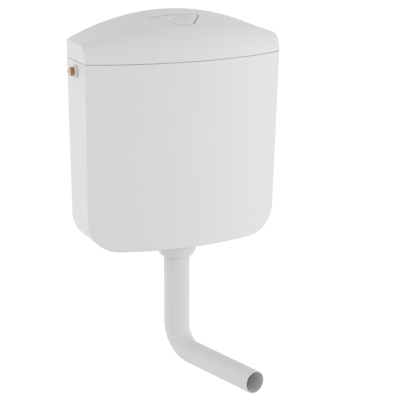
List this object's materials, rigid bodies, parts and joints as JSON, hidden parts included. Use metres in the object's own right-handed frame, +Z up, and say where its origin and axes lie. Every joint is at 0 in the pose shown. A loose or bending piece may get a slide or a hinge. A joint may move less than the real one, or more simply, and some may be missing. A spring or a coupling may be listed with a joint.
{
  "type": "low-level toilet cistern",
  "caption": "Wall-hung low-level toilet cistern of white moulded plastic, with an arched lid, a top push plate, flush and fill valves inside, and a flush bend below.",
  "frame": {"origin": "on the wall, midway between the two screw holes in the tank's back face", "axes": "+X to the right seen from the front, +Y into the wall, +Z up; the front faces -Y"},
  "size_m": [0.4123, 0.2924, 0.6815],
  "materials": {
    "shell_plastic": "satin moulded white plastic",
    "pipe_plastic": "satin blown white plastic",
    "inner_plastic": "plain moulded white plastic",
    "working_plastic": "plain moulded blue plastic",
    "seal_rubber": "soft black rubber",
    "inlet_brass": "machined brass",
    "float_foam": "closed-cell foam",
    "liner_foam": "expanded foam sheet",
    "strainer_nylon": "natural nylon"
  },
  "bodies": {
    "cistern": {"tank": "shell_plastic", "lid": "shell_plastic", "button_surround": "shell_plastic", "lever_bridge": "inner_plastic", "rocker_pin": "inner_plastic", "valve_cage": "inner_plastic", "valve_base": "inner_plastic", "base_gasket": "seal_rubber", "lock_nut": "inner_plastic", "union_nut": "pipe_plastic", "pipe_seal": "seal_rubber", "flush_bend": "pipe_plastic", "inlet_nipple": "inlet_brass", "inlet_nut": "pipe_plastic", "inlet_washer": "seal_rubber", "strainer": "strainer_nylon", "fill_valve_body": "inner_plastic", "diaphragm": "seal_rubber", "head_cap": "working_plastic", "arm_pin": "inner_plastic", "filling_tube": "inner_plastic", "inlet_plug": "pipe_plastic", "plug_washer": "seal_rubber", "plug_nut": "pipe_plastic", "foam_liner": "liner_foam"},
    "flush_valve": {"lift_tube": "inner_plastic", "valve_seal": "seal_rubber", "float_cup": "working_plastic", "lift_rod": "working_plastic"},
    "press_plate": {"push_plate": "shell_plastic"},
    "actuator_rod": {"push_rod": "inner_plastic"},
    "lift_rocker": {"rocker": "working_plastic"},
    "supply_float": {"fill_float": "float_foam", "level_rod": "inner_plastic"},
    "supply_arm": {"float_arm": "working_plastic"}
  },
  "joints": [
    {"name": "valve_lift", "type": "slide", "parent": "cistern", "child": "flush_valve", "axis": [0, 0, 1], "range_m": [0, 0.0147]},
    {"name": "button_press", "type": "hinge", "parent": "cistern", "child": "press_plate", "pos_m": [0, -0.0505, 0.08901], "axis": [1, 0, 0], "range_deg": [0, 11.07]},
    {"name": "rod_press", "type": "slide", "parent": "cistern", "child": "actuator_rod", "axis": [0, 0, -1], "range_m": [0, 0.00643]},
    {"name": "rocker_tilt", "type": "hinge", "parent": "cistern", "child": "lift_rocker", "pos_m": [0, -0.07, 0.055], "axis": [1, 0, 0], "range_deg": [0, 25.87]},
    {"name": "float_rise", "type": "slide", "parent": "cistern", "child": "supply_float", "axis": [0, 0, 1], "range_m": [0, 0.018]},
    {"name": "arm_swing", "type": "hinge", "parent": "cistern", "child": "supply_arm", "pos_m": [-0.12721, -0.031, 0.019], "axis": [0, 1, 0], "range_deg": [0, 19.19]}
  ],
  "couplings": [
    {"joint": "button_press", "follows": "valve_lift", "rad_per_m": 13.142},
    {"joint": "rod_press", "follows": "valve_lift", "ratio": 0.43748},
    {"joint": "rocker_tilt", "follows": "valve_lift", "rad_per_m": 30.712},
    {"joint": "arm_swing", "follows": "float_rise", "rad_per_m": 18.605}
  ]
}
